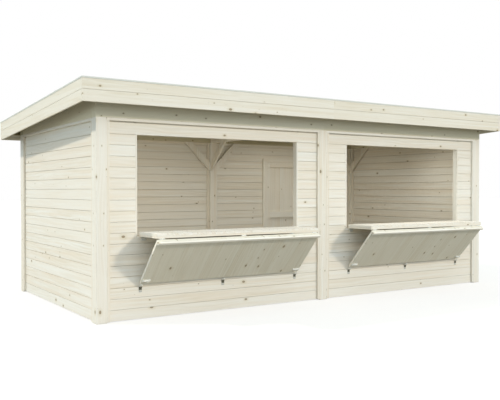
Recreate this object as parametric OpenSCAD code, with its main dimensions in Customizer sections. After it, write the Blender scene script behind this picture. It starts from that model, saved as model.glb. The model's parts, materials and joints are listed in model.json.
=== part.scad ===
/* [Plan] */
// Length over the corner posts
stall_l = 5960; // [5200:10:7200]
// Depth over the corner posts
stall_d = 2870; // [2400:10:3600]
// Side of the square posts and width of the top beams
post_w = 120; // [110:1:150]

/* [Heights] */
// Height of the posts, where the top beams rest
post_h = 2126; // [1950:1:2500]
// Rise of the roof boards over the posts, along the front edge of the roof
roof_rise = 364; // [330:1:600]
// Fall of the roof to the rear, in degrees
roof_pitch = 3.26; // [2:0.01:4]

/* [Roof] */
// Overhang of the roof past the posts at the front
eave_front = 200; // [120:1:320]
// Overhang of the roof past the posts at the two ends
eave_side = 215; // [120:1:320]
// Overhang of the roof past the posts at the rear
eave_rear = 195; // [120:1:320]
// Thickness of the roof boards
deck_t = 20; // [16:1:28]
// Thickness of the roofing felt
felt_t = 5; // [3:0.5:8]
// Height of the turned-down felt edge
drip_h = 12; // [6:1:25]
// Thickness of the turned-down felt edge
drip_t = 3; // [2:0.5:5]
// Thickness of the fascia boards
fascia_t = 20; // [16:1:30]
// Height of one fascia board
fascia_h = 119; // [90:1:140]
// Groove between the two fascia boards
fascia_gap = 2; // [1:0.5:5]
// Thickness of the battens behind the fascia boards
eaves_batten_t = 28; // [20:1:45]
// Height of the battens behind the fascia boards
eaves_batten_h = 150; // [130:1:170]
// Width of the purlins
purlin_w = 45; // [35:1:70]
// Height of the purlins
purlin_h = 120; // [95:1:150]
// Number of purlins between the front and rear beams
purlin_count = 3; // [2:1:5]

/* [Walls] */
// Thickness of the wall boards
board_t = 28; // [19:1:34]
// Outer face of the boards behind the face of the posts
board_recess = 28; // [20:1:36]
// Gap between the ground and the lowest board
wall_lift = 8; // [4:1:20]
// Width of the laths that frame each wall field
lath_w = 30; // [20:1:45]
// Outer face of the laths behind the face of the posts
lath_set = 2; // [1:0.5:8]
// Depth of the laths on the inside of the boards
lath_in_d = 24; // [15:1:26]
// Width of the knee braces
brace_w = 95; // [70:1:110]
// Thickness of the knee braces
brace_t = 30; // [20:1:34]
// Length of the knee braces along the post and along the beam
brace_leg = 450; // [300:5:600]
// Face of the knee braces behind the inner face of the posts
brace_set = 4; // [2:0.5:6]

/* [Serving hatches] */
// Width of the wall between a post and a serving opening
pier_w = 345; // [150:1:600]
// Height of the wall between a serving opening and the beam over it
hatch_drop = 163; // [80:1:300]
// Thickness of the lining boards round the opening
lining_t = 20; // [15:1:30]
// Depth of the lining boards
lining_d = 74; // [45:1:90]
// Underside of the counter leaf
counter_z = 886; // [820:1:940]
// Thickness of the counter leaf
counter_t = 46; // [35:1:55]
// Share of the counter leaf in the length of both leaves together
counter_share = 0.404; // [0.34:0.001:0.45]
// Thickness of the flap leaf
flap_t = 28; // [20:1:34]
// Gap between the wall boards and the foot of the open flap
flap_foot = 22; // [12:1:40]
// Height of the batten along the hinge edge of the flap
flap_batten_h = 28; // [20:1:45]
// Thickness of that batten
flap_batten_t = 25; // [18:1:30]
// Gap between each end of the leaves and the lining
leaf_side_gap = 15; // [6:1:25]
// Gap between the closed leaves and the lining at top and bottom
leaf_end_clear = 6; // [5:0.5:10]

/* [Hatch fittings] */
// Length of a hinge along its pin
hinge_l = 60; // [45:1:90]
// Width of one hinge plate
hinge_plate_w = 40; // [25:1:55]
// Thickness of the hinge plates
hinge_plate_t = 2.5; // [2:0.1:3]
// Knuckle radius of the hinges at the sill
sill_knuckle_r = 6; // [5:0.1:6.5]
// Distance of the sill hinge pin from the faces it joins
sill_pin_stand = 7; // [6.8:0.1:9]
// Distance of the sill hinge pin from the end of the counter leaf
sill_pin_gap = 5; // [5:0.1:7]
// Knuckle radius of the hinges between counter and flap
fold_knuckle_r = 4.5; // [3.5:0.1:4.6]
// Distance of the fold hinge pin from the faces it joins
fold_pin_stand = 5; // [4.9:0.1:7]
// Distance of the fold hinge pin from the ends of the two leaves
fold_pin_gap = 4; // [3.5:0.1:6]
// Distance of the outer hinges from the ends of the leaves
hinge_inset = 60; // [45:1:300]
// Running gap between hinge knuckles
knuckle_gap = 0.5; // [0.3:0.1:1]
// Width of the catches that hold the flap
catch_w = 34; // [24:1:45]
// Thickness of the catches and of the bolt plates
catch_t = 4; // [2:0.1:5]
// Gap between a catch and the foot of the flap
catch_gap = 9; // [6:0.5:14]
// Depth of a catch under the foot of the flap
catch_drop = 95; // [75:1:120]
// Width of the slot in a catch
catch_slot_w = 12; // [8:0.5:16]
// Length of the slot in a catch
catch_slot_l = 30; // [20:1:36]
// Length of a sliding bolt's plate
bolt_l = 96; // [70:1:120]
// Width of a sliding bolt's plate
bolt_w = 26; // [20:1:40]
// Radius of the sliding bolt
bolt_r = 6; // [4:0.1:7]
// Distance of a bolt from the free edge of the flap
bolt_up = 48; // [40:1:80]

/* [Rear door] */
// Clear width of the doorway
door_w = 880; // [700:5:1100]
// Height of the wall between the doorway and the beam over it
door_drop = 264; // [120:1:400]
// Thickness of the door frame
door_frame_t = 40; // [30:1:60]
// Depth of the door frame
door_frame_d = 60; // [55:1:75]
// Thickness of the boards of the door
door_board_t = 20; // [15:1:25]
// Thickness of the rails and stiles on the inside of the door
door_rail_t = 25; // [18:1:30]
// Width of the stiles and of the top rail
door_stile_w = 95; // [70:1:130]
// Height of the middle and bottom rails
door_rail_h = 100; // [80:1:150]
// Centre of the middle rail above the ground
door_mid_z = 960; // [800:1:1050]
// Gap round the door
door_gap = 8; // [5:0.5:10]
// Gap under the door
door_foot_gap = 20; // [12:1:40]
// Knuckle radius of the door hinges
door_knuckle_r = 7; // [6:0.1:9]
// Length of a strap on the door
door_strap_l = 320; // [200:5:450]
// Height of a door hinge
door_hinge_h = 72; // [60:1:90]
// Thickness of the door hinge plates
door_plate_t = 3; // [2:0.1:4]
// Gap between the knuckles of the door hinges and the face of the boards
door_pin_gap = 1; // [0.5:0.1:3]
// Centre of the upper door hinge below the top of the door
door_hinge_down = 220; // [120:1:300]
// Centre of the lower door hinge above the ground
door_hinge_up = 240; // [120:1:300]
// Height of the door handle
handle_z = 1010; // [900:1:1100]
// Length of the door lever
lever_l = 115; // [90:1:140]
// Radius of the door lever
lever_r = 8; // [6:0.1:10]
// Reach of the door lever from the door
lever_reach = 52; // [45:1:65]
// Width of the plate of the door handle
handle_plate_w = 38; // [30:1:50]
// Height of the plate of the door handle
handle_plate_h = 190; // [150:1:240]
// Thickness of the plate of the door handle
handle_plate_t = 5; // [3:0.1:8]

/* [Hidden] */
// Number of sides of round pieces
$fn = 48;
// Gap that keeps neighbouring strips of one frame apart
joint_gap = 0.4;
// Seat between the sloping pieces of the roof
roof_seat = 0.2;
// Top of the roof boards along the front edge of the roof
roof_front_z = post_h + roof_rise;
// Top edge of the serving openings and of the doorway
hatch_head_z = post_h - hatch_drop;
door_h = post_h - door_drop;
// Fall of the roof for each unit of depth
fall = tan(roof_pitch);
// Clear width of a wall field between posts, along the front and at the ends
bay_w = (stall_l - 3 * post_w) / 2;
end_bay_w = stall_d - 2 * post_w;
// Centre of a front or rear field from the middle of the stall
bay_x = (post_w + bay_w) / 2;
// Clear width of a serving opening
hatch_w = bay_w - 2 * pier_w;
// Inner face of the boards behind the face of the posts
board_in = board_recess + board_t;
// Half the outer size of the roof along the front
roof_x = stall_l / 2 + eave_side;
// Rear face of the fascia
roof_rear_y = stall_d + eave_rear;
// Pin of the hinges at the sill
sill_pin_y = board_recess - sill_pin_stand;
sill_pin_z = counter_z - sill_pin_stand;
// Lengths of the two leaves, which together fill the opening
leaves_len = hatch_head_z - leaf_end_clear - sill_pin_z - sill_pin_gap - 2 * fold_pin_gap;
counter_len = counter_share * leaves_len;
flap_len = leaves_len - counter_len;
// Ends of the counter leaf
counter_back_y = sill_pin_y - sill_pin_gap;
counter_front_y = counter_back_y - counter_len;
// Pin of the hinges between counter and flap
fold_pin_y = counter_front_y - fold_pin_gap;
fold_pin_z = counter_z - fold_pin_stand;
// Top of the sill board
hatch_sill_z = sill_pin_z + sill_pin_gap - leaf_end_clear;
// Length of the leaves along the wall
leaf_w = hatch_w - 2 * leaf_side_gap;
// Free edge and faces of the flap from the fold pin
flap_edge = fold_pin_gap + flap_len;
flap_face = fold_pin_stand + flap_t;
// Lean of the open flap out of the upright, with its foot near the wall
flap_hyp = sqrt(fold_pin_stand * fold_pin_stand + flap_edge * flap_edge);
flap_run = board_recess - flap_foot - fold_pin_y;
flap_lean = atan(fold_pin_stand / flap_edge) + asin(flap_run / flap_hyp);
// Foremost point of the open flap in front of the posts
flap_nose = flap_face + flap_batten_t;
front_reach = flap_nose * cos(flap_lean) - fold_pin_gap * sin(flap_lean) - fold_pin_y;
// Front face of the posts, with the origin in the middle of the depth
front_y = (front_reach - roof_rear_y - drip_t) / 2;
// Places of the three hinges of a leaf and of the three catches at its foot
hinge_places = [-1, 0, 1] * (leaf_w / 2 - hinge_inset);
catch_places = [-1, 0, 1] * (leaf_w - catch_w) / 2;
// Outer face of the rear wall and door
rear_face_y = stall_d - board_recess;
// Door leaf
door_leaf_w = door_w - 2 * door_gap;
door_leaf_top = door_h - door_gap;
door_pin_x = bay_x - door_w / 2 + door_gap / 2;
door_pin_y = rear_face_y + door_knuckle_r + door_pin_gap;
door_in_y = rear_face_y - door_board_t - door_rail_t;
door_hinge_zs = [door_leaf_top - door_hinge_down, door_mid_z, door_hinge_up];
handle_x = bay_x + door_leaf_w / 2 - door_stile_w / 2;
// Part of the plate of the door handle under the lever
handle_plate_low = 0.7 * handle_plate_h;
// Colours of the timber, the felt and the fittings
timber = [0.90, 0.87, 0.79];
timber_shade = [0.80, 0.76, 0.66];
felt_grey = [0.45, 0.47, 0.50];
zinc = [0.72, 0.73, 0.72];

// Height of the top of the roof boards at a depth behind the front of the posts
function deck_top(y) = roof_front_z - fall * (y + eave_front);

// Height of the underside of the roof boards
function deck_under(y) = deck_top(y) - deck_t - roof_seat;

// Outline of a strip that follows the roof, between two depths under the roof boards' top
function roof_strip(y0, y1, from, to) = [
    [y0, deck_top(y0) - to],
    [y1, deck_top(y1) - to],
    [y1, deck_top(y1) - from],
    [y0, deck_top(y0) - from]
];

// Outline of a beam with a level underside and a top that follows the roof
function wedge(y0, y1) = [
    [y0, post_h],
    [y1, post_h],
    [y1, deck_under(y1)],
    [y0, deck_under(y0)]
];

// Moves a shape from the front face of the posts to the stall's own frame
module stall() {
    translate([0, front_y, 0]) children();
}

// Runs an outline in depth and height along the length of the stall
module along_x(x0, x1, outline) {
    translate([x0, 0, 0])
        rotate([90, 0, 90])
            linear_extrude(x1 - x0) polygon(outline);
}

// Wall fields: along the field, in from the face of the posts, and up
module front_bay(side) {
    translate([side * bay_x, 0, 0]) children();
}

module rear_bay(side) {
    translate([side * bay_x, stall_d, 0])
        mirror([0, 1, 0]) children();
}

module end_bay(side) {
    translate([side * stall_l / 2, stall_d / 2, 0])
        rotate([0, 0, side * 90]) children();
}

// One block in a wall field, from u0 to u1, y0 to y1 and z0 to z1
module block(u0, u1, y0, y1, z0, z1) {
    translate([u0, y0, z0]) cube([u1 - u0, y1 - y0, z1 - z0]);
}

// Boards of a wall field
module boards(u0, u1, z0, z1) {
    block(u0, u1, board_recess, board_in, z0, z1);
}

// Laths on both faces of a wall field, beside the posts and under the beam
module bay_laths(w) {
    faces = [[lath_set, board_recess], [board_in, board_in + lath_in_d]];
    for (f = faces) {
        for (s = [-1, 1]) {
            edge = s * (w - lath_w) / 2;
            block(edge - lath_w / 2, edge + lath_w / 2, f[0], f[1], wall_lift, post_h - lath_w - joint_gap);
        }
        block(-w / 2, w / 2, f[0], f[1], post_h - lath_w, post_h);
    }
}

// Three posts in a row, with their front face at depth y
module post_row(y) {
    for (s = [-1, 0, 1])
        translate([s * (stall_l - post_w) / 2 - post_w / 2, y, 0]) cube([post_w, post_w, post_h]);
}

module front_posts() {
    color(timber) stall() post_row(0);
}

module rear_posts() {
    color(timber) stall() post_row(stall_d - post_w);
}

module front_header() {
    color(timber) stall() along_x(-stall_l / 2, stall_l / 2, wedge(0, post_w));
}

module rear_header() {
    color(timber) stall() along_x(-stall_l / 2, stall_l / 2, wedge(stall_d - post_w, stall_d));
}

// Beam from the front header to the rear header, centred at x
module cross_beam(x) {
    along_x(x - post_w / 2, x + post_w / 2, wedge(post_w, stall_d - post_w));
}

module side_headers() {
    color(timber) stall()
        for (s = [-1, 1]) cross_beam(s * (stall_l - post_w) / 2);
}

module centre_tie() {
    color(timber) stall() cross_beam(0);
}

module purlins() {
    step = (end_bay_w + purlin_w) / (purlin_count + 1);
    under = deck_t + roof_seat;
    color(timber_shade) stall()
        for (i = [1 : purlin_count], s = [-1, 1]) {
            y0 = post_w + i * step - purlin_w;
            x = s * bay_x;
            along_x(x - bay_w / 2, x + bay_w / 2, roof_strip(y0, y0 + purlin_w, under, under + purlin_h));
        }
}

// Knee brace from a post face at the local origin out along the beam
module knee_brace() {
    cut = brace_w * sqrt(2);
    translate([0, brace_t, post_h])
        rotate([90, 0, 0])
            linear_extrude(brace_t)
                polygon([[0, -brace_leg], [0, cut - brace_leg], [brace_leg - cut, 0], [brace_leg, 0]]);
}

module knee_braces() {
    rear_in = stall_d - post_w;
    corner_in = stall_l / 2 - post_w;
    color(timber) stall() {
        for (s = [0, 1])
            mirror([s, 0, 0]) {
                translate([post_w / 2, rear_in + brace_set, 0]) knee_brace();
                translate([corner_in, rear_in + brace_set, 0]) mirror([1, 0, 0]) knee_brace();
                translate([corner_in + brace_set, rear_in, 0]) rotate([0, 0, -90]) knee_brace();
            }
        translate([brace_set - post_w / 2, rear_in, 0]) rotate([0, 0, -90]) knee_brace();
    }
}

module end_wall(side) {
    color(timber) stall() end_bay(side) boards(-end_bay_w / 2, end_bay_w / 2, wall_lift, post_h);
}

module left_wall() {
    end_wall(-1);
}

module right_wall() {
    end_wall(1);
}

// Front wall under, beside and over a serving opening
module hatch_wall_low(side) {
    color(timber) stall() front_bay(side)
        boards(-bay_w / 2, bay_w / 2, wall_lift, hatch_sill_z - lining_t);
}

module hatch_wall_piers(side) {
    color(timber) stall() front_bay(side)
        for (s = [0, 1])
            mirror([s, 0, 0])
                boards(hatch_w / 2 + lining_t, bay_w / 2, hatch_sill_z - lining_t, hatch_head_z + lining_t);
}

module hatch_wall_top(side) {
    color(timber) stall() front_bay(side) boards(-bay_w / 2, bay_w / 2, hatch_head_z + lining_t, post_h);
}

module front_left_wall_low() {
    hatch_wall_low(-1);
}

module front_left_wall_piers() {
    hatch_wall_piers(-1);
}

module front_left_wall_top() {
    hatch_wall_top(-1);
}

module front_right_wall_low() {
    hatch_wall_low(1);
}

module front_right_wall_piers() {
    hatch_wall_piers(1);
}

module front_right_wall_top() {
    hatch_wall_top(1);
}

module rear_left_wall() {
    color(timber) stall() rear_bay(-1) boards(-bay_w / 2, bay_w / 2, wall_lift, post_h);
}

module rear_right_wall_beside() {
    color(timber) stall() rear_bay(1)
        for (s = [0, 1])
            mirror([s, 0, 0]) boards(door_w / 2 + door_frame_t, bay_w / 2, wall_lift, door_h + door_frame_t);
}

module rear_right_wall_over() {
    color(timber) stall() rear_bay(1) boards(-bay_w / 2, bay_w / 2, door_h + door_frame_t, post_h);
}

module front_laths() {
    color(timber) stall()
        for (s = [-1, 1]) front_bay(s) bay_laths(bay_w);
}

module rear_laths() {
    color(timber) stall()
        for (s = [-1, 1]) rear_bay(s) bay_laths(bay_w);
}

module side_laths() {
    color(timber) stall()
        for (s = [-1, 1]) end_bay(s) bay_laths(end_bay_w);
}

// Sill, head and jambs of a serving opening
module opening_lining(side) {
    y1 = board_recess + lining_d;
    out = hatch_w / 2 + lining_t;
    color(timber) stall() front_bay(side) {
        for (z = [hatch_sill_z - lining_t, hatch_head_z])
            block(-out, out, board_recess, y1, z, z + lining_t);
        for (s = [0, 1])
            mirror([s, 0, 0])
                block(hatch_w / 2, out, board_recess, y1, hatch_sill_z + joint_gap, hatch_head_z - joint_gap);
    }
}

module left_opening_lining() {
    opening_lining(-1);
}

module right_opening_lining() {
    opening_lining(1);
}

// One half of a butt hinge: pin along x at the origin, plate out along -y, its back on the plane z = stand
module hinge_half(r, stand, middle) {
    third = hinge_l / 3;
    half = (third - knuckle_gap) / 2;
    reach = r + knuckle_gap;
    back = stand - hinge_plate_t;
    block(-hinge_l / 2, hinge_l / 2, -hinge_plate_w, -reach, back, stand);
    for (p = middle ? [0] : [-third, third]) {
        block(p - half, p + half, -reach, 0, back, stand);
        translate([p - half, 0, 0]) rotate([0, 90, 0]) cylinder(r = r, h = 2 * half);
    }
}

// Halves of the sill hinges that are screwed to the wall
module sill_hinge_plates() {
    color(zinc) stall()
        for (s = [-1, 1], p = hinge_places)
            translate([s * bay_x + p, sill_pin_y, sill_pin_z])
                mirror([0, 1, -1]) hinge_half(sill_knuckle_r, sill_pin_stand, true);
}

// Counter leaf, level at rest
module counter(side) {
    color(timber) stall() front_bay(side)
        block(-leaf_w / 2, leaf_w / 2, counter_front_y, counter_back_y, counter_z, counter_z + counter_t);
}

// Hinge halves under the counter leaf, at the sill and at the fold
module counter_hinges(side) {
    color(zinc) stall() front_bay(side)
        for (p = hinge_places) {
            translate([p, sill_pin_y, sill_pin_z]) hinge_half(sill_knuckle_r, sill_pin_stand, false);
            translate([p, fold_pin_y, fold_pin_z])
                mirror([0, 1, 0]) hinge_half(fold_knuckle_r, fold_pin_stand, false);
        }
}

// Frame of a flap leaf: origin on the fold pin, down the leaf along -z, out of its visible face along -y
module in_flap(side) {
    stall() front_bay(side)
        translate([0, fold_pin_y, fold_pin_z]) rotate([flap_lean, 0, 0]) children();
}

// Flap leaf with the batten along its hinge edge
module flap(side) {
    color(timber) in_flap(side) {
        block(-leaf_w / 2, leaf_w / 2, -flap_face, -fold_pin_stand, -flap_edge, -fold_pin_gap);
        block(-leaf_w / 2, leaf_w / 2, -flap_nose, -flap_face, -fold_pin_gap - flap_batten_h, -fold_pin_gap);
    }
}

// Hinge halves on the hidden face of the flap
module flap_hinges(side) {
    color(zinc) in_flap(side)
        for (p = hinge_places)
            translate([p, 0, 0]) rotate([90, 0, 0]) hinge_half(fold_knuckle_r, fold_pin_stand, true);
}

// Catch on the wall: a plate that bends out to the foot of the flap, with a rounded and slotted tongue
module flap_catch() {
    foot_y = fold_pin_y - flap_face * cos(flap_lean) + flap_edge * sin(flap_lean);
    foot_z = fold_pin_z - flap_face * sin(flap_lean) - flap_edge * cos(flap_lean);
    tongue_l = (board_recess - foot_y) / sin(flap_lean) - catch_gap;
    bend = [board_recess, foot_z - (board_recess - foot_y) / tan(flap_lean)];
    tip = bend + tongue_l * [-sin(flap_lean), cos(flap_lean)];
    out = catch_t * [-cos(flap_lean), -sin(flap_lean)];
    inner_bend = bend + out + catch_t * tan(flap_lean / 2) * [-sin(flap_lean), cos(flap_lean)];
    foot = foot_z - catch_drop;
    round_r = 0.6 * catch_w;
    round_at = tongue_l - round_r;
    straight = round_at - round_r / 4;
    difference() {
        intersection() {
            along_x(
                -catch_w / 2, catch_w / 2,
                [[board_recess - catch_t, foot], [board_recess, foot], bend, tip, tip + out, inner_bend]
            );
            in_tongue(bend, catch_drop) {
                translate([-catch_w, -catch_drop]) square([2 * catch_w, catch_drop + straight]);
                translate([0, round_at]) circle(r = round_r);
            }
        }
        in_tongue(bend, 2 * catch_t)
            translate([-catch_slot_w / 2, 2 * catch_t]) square([catch_slot_w, catch_slot_l]);
    }
}

// Runs a flat outline through the tongue of a catch, to a depth on both sides of it
module in_tongue(bend, depth) {
    translate([0, bend[0], bend[1]])
        rotate([flap_lean + 90, 0, 0])
            translate([0, 0, -depth]) linear_extrude(2 * depth) children();
}

module flap_catches() {
    color(zinc) stall()
        for (s = [-1, 1], p = catch_places)
            front_bay(s) translate([p, 0, 0]) flap_catch();
}

// Sliding bolt with its plate, keepers and knob, along x with its plate on the plane y = 0
module slide_bolt() {
    margin = 0.06 * bolt_l;
    keeper_l = 0.14 * bolt_l;
    keepers = [margin, 0.4 * bolt_l, bolt_l - margin - keeper_l];
    axis_y = -catch_t - 0.8 * bolt_r;
    keeper_y = axis_y - 1.2 * bolt_r;
    keeper_half = 1.3 * bolt_r;
    knob_x = 0.67 * bolt_l;
    knob_r = 0.6 * bolt_r;
    knob_l = 3 * bolt_r;
    knob_turn = 130;
    block(0, bolt_l, -catch_t, 0, -bolt_w / 2, bolt_w / 2);
    translate([margin / 2, axis_y, 0]) rotate([0, 90, 0]) cylinder(r = bolt_r, h = bolt_l - margin);
    for (u = keepers) block(u, u + keeper_l, keeper_y, -catch_t / 2, -keeper_half, keeper_half);
    translate([knob_x, axis_y, 0]) rotate([knob_turn, 0, 0]) cylinder(r = knob_r, h = knob_l);
}

module bolts(side) {
    color(zinc) in_flap(side)
        for (s = [0, 1])
            mirror([s, 0, 0])
                translate([-leaf_w / 2 + catch_t, -flap_face, bolt_up - flap_edge]) slide_bolt();
}

module left_counter() {
    counter(-1);
}

module left_counter_hinges() {
    counter_hinges(-1);
}

module left_flap() {
    flap(-1);
}

module left_flap_hinges() {
    flap_hinges(-1);
}

module left_bolts() {
    bolts(-1);
}

module right_counter() {
    counter(1);
}

module right_counter_hinges() {
    counter_hinges(1);
}

module right_flap() {
    flap(1);
}

module right_flap_hinges() {
    flap_hinges(1);
}

module right_bolts() {
    bolts(1);
}

// Frame of the rear door: two jambs and a head
module door_frame() {
    out = door_w / 2 + door_frame_t;
    y1 = board_recess + door_frame_d;
    color(timber) stall() rear_bay(1) {
        block(-out, out, board_recess, y1, door_h, door_h + door_frame_t);
        for (s = [0, 1])
            mirror([s, 0, 0]) block(door_w / 2, out, board_recess, y1, wall_lift, door_h - joint_gap);
    }
}

// Lower half of each door hinge, on the frame
module door_hinge_plates() {
    half = (door_hinge_h - knuckle_gap) / 2;
    color(zinc) stall()
        for (z = door_hinge_zs)
            translate([door_pin_x, door_pin_y, z - door_hinge_h / 2]) {
                cylinder(r = door_knuckle_r, h = half);
                translate([0, rear_face_y - door_pin_y, 0])
                    block(-door_frame_t, 0, 0, door_plate_t, 0, half);
            }
}

// Boards of the door with its stiles and rails on the inside
module door_leaf() {
    x0 = bay_x - door_leaf_w / 2;
    x1 = bay_x + door_leaf_w / 2;
    y1 = rear_face_y - door_board_t;
    rails = [
        [door_foot_gap, door_foot_gap + door_rail_h],
        [door_mid_z - door_rail_h / 2, door_mid_z + door_rail_h / 2],
        [door_leaf_top - door_stile_w, door_leaf_top]
    ];
    color(timber) stall() {
        block(x0, x1, y1, rear_face_y, door_foot_gap, door_leaf_top);
        for (x = [x0, x1 - door_stile_w])
            block(x, x + door_stile_w, door_in_y, y1, door_foot_gap, door_leaf_top);
        for (r = rails)
            block(x0, x1, door_in_y, y1, r[0], r[1]);
    }
}

// Upper half of each door hinge, with its strap along the door
module door_straps() {
    half = (door_hinge_h - knuckle_gap) / 2;
    color(zinc) stall()
        for (z = door_hinge_zs)
            translate([door_pin_x, door_pin_y, z + door_hinge_h / 2 - half]) {
                cylinder(r = door_knuckle_r, h = half);
                translate([0, rear_face_y - door_pin_y, 0])
                    block(0, door_strap_l, 0, door_plate_t, 0, half);
            }
}

// Plate, spindle and lever of one side of the door, out along +y
module lever_side() {
    translate([-handle_plate_w / 2, 0, -handle_plate_low])
        cube([handle_plate_w, handle_plate_t, handle_plate_h]);
    rotate([-90, 0, 0]) cylinder(r = lever_r, h = lever_reach);
    translate([lever_r, lever_reach - lever_r, 0])
        rotate([0, -90, 0]) cylinder(r = lever_r, h = lever_l);
}

module door_handle() {
    color(zinc) stall() {
        translate([handle_x, rear_face_y, handle_z]) lever_side();
        translate([handle_x, door_in_y, handle_z]) mirror([0, 1, 0]) lever_side();
    }
}

module roof_deck() {
    y0 = fascia_t - eave_front;
    y1 = roof_rear_y - fascia_t;
    color(timber_shade) stall()
        along_x(fascia_t - roof_x, roof_x - fascia_t, roof_strip(y0, y1, 0, deck_t));
}

// Felt sheet over the roof boards, turned down over the fascia
module roof_felt() {
    x1 = roof_x + drip_t;
    below = 2 * drip_h;
    color(felt_grey) stall()
        difference() {
            along_x(-x1, x1, roof_strip(-eave_front - drip_t, roof_rear_y + drip_t, -felt_t, drip_h));
            along_x(-roof_x, roof_x, roof_strip(-eave_front, roof_rear_y, -roof_seat, below));
        }
}

// Two boards of a fascia, one over the other
module fascia(x0, x1, y0, y1) {
    for (z = [0, fascia_h + fascia_gap])
        along_x(x0, x1, roof_strip(y0, y1, z, z + fascia_h));
}

module front_fascia() {
    color(timber) stall() fascia(-roof_x, roof_x, -eave_front, fascia_t - eave_front);
}

module rear_fascia() {
    color(timber) stall() fascia(-roof_x, roof_x, roof_rear_y - fascia_t, roof_rear_y);
}

module side_fascias() {
    color(timber) stall()
        for (s = [0, 1])
            mirror([s, 0, 0])
                fascia(roof_x - fascia_t, roof_x, fascia_t - eave_front, roof_rear_y - fascia_t);
}

// Battens under the roof boards that the fascia is nailed to
module eaves_battens() {
    y0 = fascia_t - eave_front;
    y1 = roof_rear_y - fascia_t;
    x1 = roof_x - fascia_t;
    under = deck_t + roof_seat;
    low = under + eaves_batten_h;
    in0 = y0 + eaves_batten_t;
    in1 = y1 - eaves_batten_t;
    color(timber_shade) stall() {
        along_x(-x1, x1, roof_strip(y0, in0, under, low));
        along_x(-x1, x1, roof_strip(in1, y1, under, low));
        for (s = [0, 1])
            mirror([s, 0, 0])
                along_x(x1 - eaves_batten_t, x1, roof_strip(in0 + joint_gap, in1 - joint_gap, under, low));
    }
}

front_posts();
rear_posts();
front_header();
rear_header();
side_headers();
centre_tie();
purlins();
knee_braces();
left_wall();
right_wall();
front_left_wall_low();
front_left_wall_piers();
front_left_wall_top();
front_right_wall_low();
front_right_wall_piers();
front_right_wall_top();
rear_left_wall();
rear_right_wall_beside();
rear_right_wall_over();
front_laths();
rear_laths();
side_laths();
left_opening_lining();
right_opening_lining();
sill_hinge_plates();
left_counter();
left_counter_hinges();
left_flap();
left_flap_hinges();
left_bolts();
flap_catches();
right_counter();
right_counter_hinges();
right_flap();
right_flap_hinges();
right_bolts();
door_frame();
door_hinge_plates();
door_leaf();
door_straps();
door_handle();
roof_deck();
roof_felt();
front_fascia();
rear_fascia();
side_fascias();
eaves_battens();
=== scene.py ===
"""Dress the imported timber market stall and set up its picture.

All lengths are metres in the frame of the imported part: +X along the serving front,
+Y from the serving front to the rear, +Z up.
"""

from __future__ import annotations

import json
import logging
import math
from collections.abc import Callable, Iterable
from dataclasses import dataclass
from enum import Enum
from typing import Any

import bpy
from mathutils import Euler, Matrix, Vector

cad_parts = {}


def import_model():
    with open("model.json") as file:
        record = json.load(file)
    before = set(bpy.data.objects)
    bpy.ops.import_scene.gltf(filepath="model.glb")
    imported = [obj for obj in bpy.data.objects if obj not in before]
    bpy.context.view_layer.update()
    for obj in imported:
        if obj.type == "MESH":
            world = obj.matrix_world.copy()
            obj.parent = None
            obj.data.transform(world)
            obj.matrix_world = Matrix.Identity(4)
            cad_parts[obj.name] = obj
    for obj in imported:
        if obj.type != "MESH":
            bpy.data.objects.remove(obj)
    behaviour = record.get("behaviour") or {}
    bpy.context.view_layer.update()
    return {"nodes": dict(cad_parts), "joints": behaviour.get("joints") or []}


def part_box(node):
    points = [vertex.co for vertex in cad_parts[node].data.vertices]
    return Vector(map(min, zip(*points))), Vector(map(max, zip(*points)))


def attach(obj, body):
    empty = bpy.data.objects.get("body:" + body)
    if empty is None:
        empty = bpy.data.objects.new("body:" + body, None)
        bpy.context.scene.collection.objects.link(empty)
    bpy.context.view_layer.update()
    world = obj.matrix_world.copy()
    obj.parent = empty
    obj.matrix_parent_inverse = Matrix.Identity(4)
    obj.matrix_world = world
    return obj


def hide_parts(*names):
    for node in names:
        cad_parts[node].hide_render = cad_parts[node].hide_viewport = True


LOG = logging.getLogger("market_stall")

# Fall of the roof for each metre towards the rear
ROOF_FALL = math.tan(math.radians(3.26))
# Heights that are closer than these touch, or are the same
TOUCH = 1e-5
SAME = 1e-6
# Least part of a normal along an axis where a face looks along it, or squarely along it
FACING = 0.9
SQUARE_ON = 0.99
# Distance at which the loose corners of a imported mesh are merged
MERGE = 0.00002
# Greatest turn inside one flat face, and least turn at an edge that is rounded
FLAT_TURN = math.radians(1.0)
EDGE_TURN = math.radians(40.0)


class Axis(Enum):
    """Direction of a board's grain or of a stack of boards."""

    X = 0
    Y = 1
    Z = 2

    @property
    def unit(self) -> Vector:
        """Unit vector of the axis."""
        return Vector([1.0 if i == self.value else 0.0 for i in range(3)])


class Side(Enum):
    """The two serving hatches, as seen from the front."""

    LEFT = "left"
    RIGHT = "right"


def paint(code: str) -> tuple[float, float, float, float]:
    """Turn a colour as seen on a screen into the linear colour that shaders take.

    Args:
        code: Six hexadecimal digits, two each for red, green and blue.

    Returns:
        Linear red, green, blue and an alpha of one.
    """
    shown = [int(code[i : i + 2], 16) / 255 for i in (0, 2, 4)]
    linear = [v / 12.92 if v <= 0.04045 else ((v + 0.055) / 1.055) ** 2.4 for v in shown]
    return (linear[0], linear[1], linear[2], 1.0)


# Shader graphs


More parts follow.
